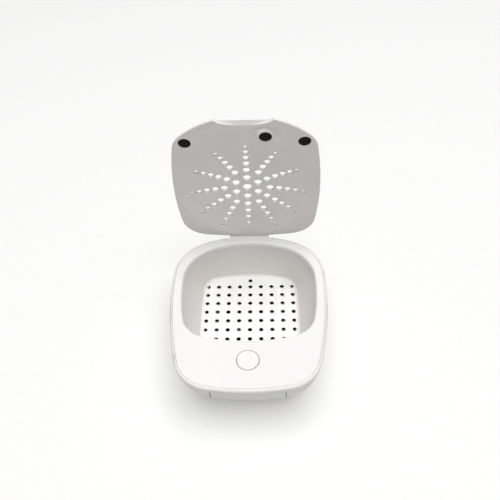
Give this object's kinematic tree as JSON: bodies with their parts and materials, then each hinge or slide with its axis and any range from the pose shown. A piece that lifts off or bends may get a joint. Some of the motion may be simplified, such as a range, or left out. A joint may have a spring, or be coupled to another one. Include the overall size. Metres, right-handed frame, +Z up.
{
  "type": "hearing aid dryer",
  "caption": "Small tapered box with a perforated drying chamber, a round button and a domed vented flip lid, which dries hearing aids with warm air.",
  "frame": {"origin": "under the middle of the whole object with its lid open, on the plane on which the feet stand", "axes": "+Z up, -Y towards the front with the button, +X to the right seen from the front"},
  "size_m": [0.0734, 0.093, 0.114],
  "materials": {
    "shell_white": "satin white moulded ABS",
    "deck_white": "fine matte white moulded ABS",
    "cover_white": "matte white moulded ABS",
    "lid_white": "satin white moulded ABS",
    "button_white": "satin white moulded ABS",
    "magnet": "black epoxy-coated magnet",
    "steel": "plated steel",
    "rubber": "matte dark rubber",
    "black_plastic": "matte black moulded plastic",
    "board": "green solder mask over glass laminate",
    "led": "clear resin over yellow phosphor",
    "copper": "enamelled copper winding",
    "spreader": "black anodised aluminium",
    "heater": "ceramic"
  },
  "bodies": {
    "base": {"outer_shell": "shell_white", "front_panel": "shell_white", "top_deck": "deck_white", "drying_bowl": "deck_white", "chamber_grille": "deck_white", "bottom_cover": "cover_white", "rubber_feet": "rubber", "cover_screws": "steel", "hinge_pin": "steel", "base_magnets": "magnet", "button_spring": "steel", "tact_switch": "black_plastic", "control_board": "board", "board_screws": "steel", "controller_chip": "black_plastic", "board_connector": "cover_white", "status_led": "led", "lid_sensor": "black_plastic", "fan_housing": "black_plastic", "fan_stator": "copper", "heat_spreader": "spreader", "heating_elements": "heater", "thermal_fuse": "heater", "inlet_shell": "steel", "inlet_contacts": "black_plastic", "inlet_board": "board"},
    "lid": {"lid": "lid_white", "lid_corner_magnets": "magnet", "lid_sensor_magnet": "magnet"},
    "button": {"button_cap": "button_white", "switch_plunger": "black_plastic"},
    "fan": {"fan_rotor": "black_plastic", "fan_shaft": "steel"}
  },
  "joints": [
    {"name": "lid_hinge", "type": "hinge", "parent": "base", "child": "lid", "pos_m": [0, 0.04095, 0.03175], "axis": [1, 0, 0], "range_deg": [-11, 79]},
    {"name": "button_press", "type": "slide", "parent": "base", "child": "button", "axis": [0, 0, -1], "range_m": [0, 0.0006], "stiffness_N_per_m": 900, "deforming": ["button_spring"]},
    {"name": "fan_spin", "type": "hinge", "parent": "base", "child": "fan", "pos_m": [0, 0.01179, 0.0056], "axis": [0, 0, 1], "continuous": true}
  ]
}
